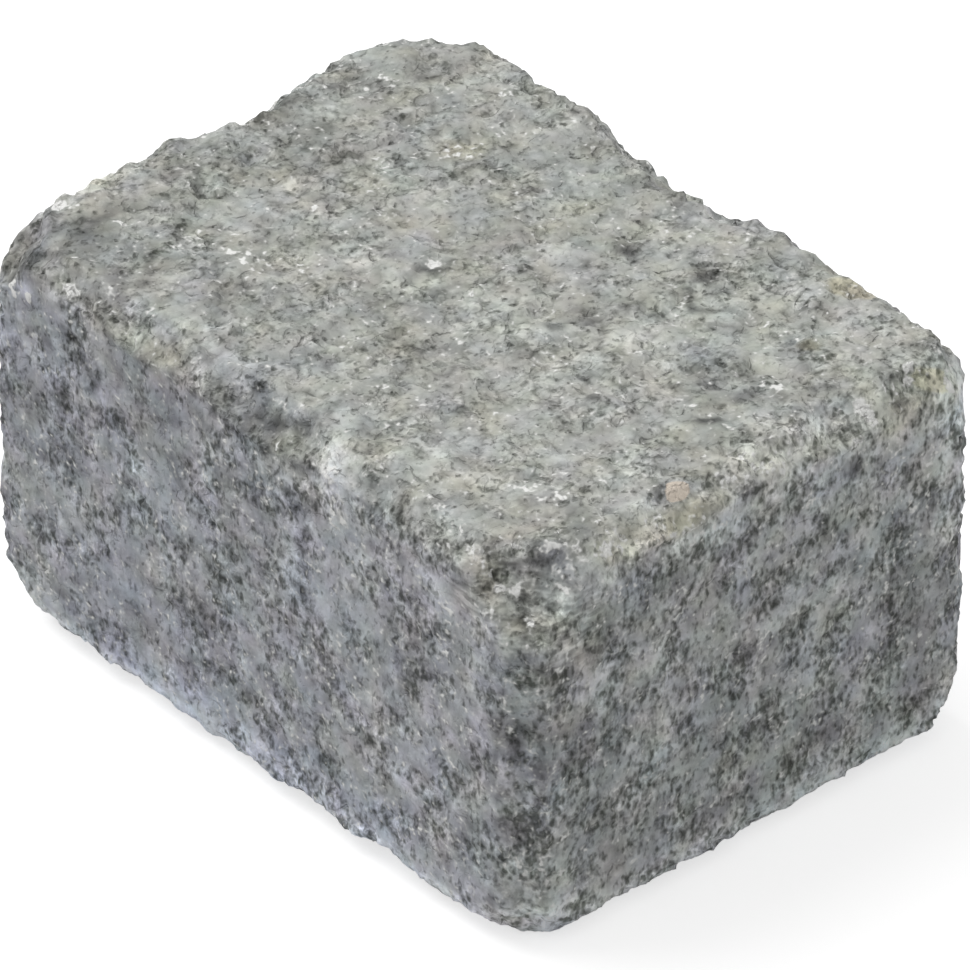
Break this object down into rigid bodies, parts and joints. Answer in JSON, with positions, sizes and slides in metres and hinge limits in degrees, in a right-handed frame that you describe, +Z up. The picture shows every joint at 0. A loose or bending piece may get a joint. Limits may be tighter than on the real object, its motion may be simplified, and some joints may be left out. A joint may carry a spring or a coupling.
{
  "type": "tumbled concrete paver",
  "caption": "Rectangular paving block of dense concrete, tumbled so that its arrises and corners are knocked back and rounded, with a rough wearing face.",
  "frame": {"origin": "middle of the foot, on the surface that the block stands on", "axes": "+Z up through the wearing face, +X along the block's length, +Y across its width"},
  "size_m": [0.14, 0.104, 0.08],
  "materials": {
    "concrete": "rough, tumbled grey concrete"
  },
  "bodies": {
    "root": {"paver": "concrete"}
  },
  "joints": []
}
